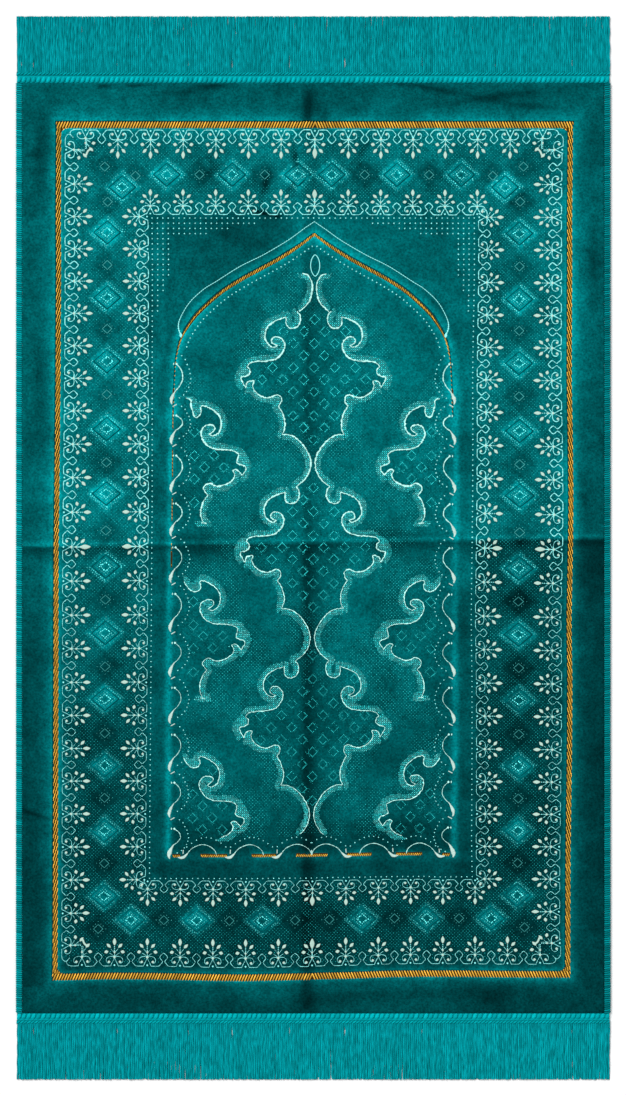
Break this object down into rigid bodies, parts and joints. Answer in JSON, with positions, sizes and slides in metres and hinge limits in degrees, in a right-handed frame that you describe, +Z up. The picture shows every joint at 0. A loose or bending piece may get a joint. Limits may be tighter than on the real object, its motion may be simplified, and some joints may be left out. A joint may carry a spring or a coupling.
{
  "type": "prayer rug",
  "caption": "Flat velvet prayer rug with a pointed niche, a sunk band round its border, overlocked edges and a knotless yarn fringe along each end.",
  "frame": {"origin": "middle of the rug on the floor that it lies on", "axes": "+Y along the rug towards the point of its niche, +Z up from the floor, +X to the right as seen from above with the niche's point away from the viewer"},
  "size_m": [0.7, 1.2524, 0.0062],
  "materials": {
    "velvet_pile": "short cut pile, dull teal that darkens with the lie of the nap",
    "teal_yarn": "slightly lustrous twisted yarn",
    "gold_yarn": "flat-woven twill of lustrous old-gold yarn",
    "cream_yarn": "dull cream yarn that shows in the pile's pattern"
  },
  "bodies": {
    "root": {"pile_cloth": "velvet_pile", "side_overlock_left": "teal_yarn", "side_overlock_right": "teal_yarn", "end_overlock_head": "teal_yarn", "end_overlock_foot": "teal_yarn", "fringe_head": "teal_yarn", "fringe_foot": "teal_yarn"}
  },
  "joints": []
}
